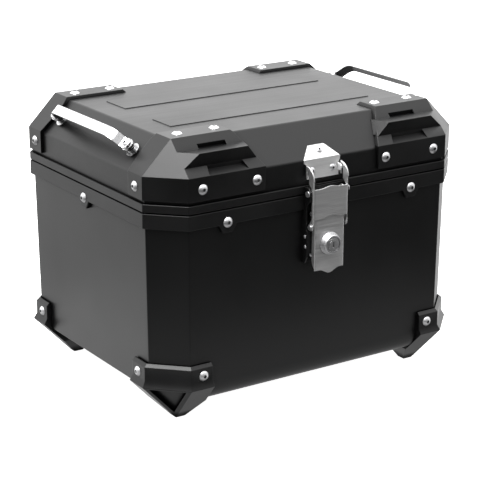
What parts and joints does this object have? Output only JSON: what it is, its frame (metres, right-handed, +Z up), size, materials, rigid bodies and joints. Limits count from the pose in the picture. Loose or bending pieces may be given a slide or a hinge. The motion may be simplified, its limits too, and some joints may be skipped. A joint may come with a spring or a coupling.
{
  "type": "motorcycle top case",
  "caption": "Sheet-metal motorcycle luggage box: tapered body, faceted hinged lid, plastic corner guards, bar handles, locking draw latch and bolt pattern in the floor.",
  "frame": {"origin": "centre of the bounding box in X and Y, at ground level under the feet", "axes": "+X along the case's width (to the right seen from the latch side), +Y towards the hinges, +Z up; the latch faces -Y"},
  "size_m": [0.4408, 0.3754, 0.3351],
  "materials": {
    "black_sheet": "satin black powder coat",
    "black_plastic": "fine grain",
    "bright_zinc": "bright zinc",
    "polished": "polished",
    "stainless": "brushed",
    "rubber": "matte",
    "bare_sheet": "mill"
  },
  "bodies": {
    "body": {"body_shell": "black_sheet", "body_rim": "black_plastic", "rim_screws": "bright_zinc", "rim_nuts": "bright_zinc", "floor_plate": "bare_sheet", "foot_guard_front_left": "black_plastic", "foot_guard_front_right": "black_plastic", "foot_guard_rear_left": "black_plastic", "foot_guard_rear_right": "black_plastic", "foot_guard_screws": "bright_zinc", "foot_guard_nuts": "bright_zinc", "hinge_body_leaf_left": "black_sheet", "hinge_body_leaf_right": "black_sheet", "hinge_pins": "stainless", "hinge_body_screws": "bright_zinc", "latch_base": "black_sheet", "latch_base_rivets": "bright_zinc", "strike_rivets": "bright_zinc", "latch_pivot_pin": "bright_zinc"},
    "lid": {"lid_shell": "black_sheet", "lid_rim": "black_plastic", "lid_seal": "rubber", "lid_guard_front_left": "black_plastic", "lid_guard_front_right": "black_plastic", "lid_guard_rear_left": "black_plastic", "lid_guard_rear_right": "black_plastic", "lid_guard_screws": "bright_zinc", "lid_guard_nuts": "bright_zinc", "handle_left": "polished", "handle_right": "polished", "handle_bosses": "polished", "handle_bolts": "bright_zinc", "handle_nuts": "bright_zinc", "keeper_plate": "stainless", "keeper_screws": "bright_zinc", "hinge_lid_leaf_left": "black_sheet", "hinge_lid_leaf_right": "black_sheet", "hinge_lid_screws": "bright_zinc"},
    "lever": {"latch_lever": "stainless", "link_pin": "bright_zinc", "lock_barrel": "stainless", "lock_nut": "bright_zinc"},
    "link": {"latch_link": "stainless"},
    "plug": {"lock_plug": "stainless", "lock_cam": "bright_zinc", "cam_screw": "bright_zinc"}
  },
  "joints": [
    {"name": "lid_hinge", "type": "hinge", "parent": "body", "child": "lid", "pos_m": [0, 0.1832, 0.2533], "axis": [-1, 0, 0], "range_deg": [0, 100]},
    {"name": "latch_lever", "type": "hinge", "parent": "body", "child": "lever", "pos_m": [0, -0.1743, 0.2555], "axis": [-1, 0, 0], "range_deg": [0, 100]},
    {"name": "latch_link", "type": "hinge", "parent": "lever", "child": "link", "pos_m": [0, -0.1753, 0.216], "axis": [1, 0, 0], "range_deg": [0, 100]},
    {"name": "lock_plug_turn", "type": "hinge", "parent": "lever", "child": "plug", "pos_m": [0.0012, -0.1843, 0.195], "axis": [0, -1, 0], "range_deg": [0, 90]}
  ],
  "couplings": [
    {"joint": "latch_link", "follows": "latch_lever", "ratio": 1}
  ]
}
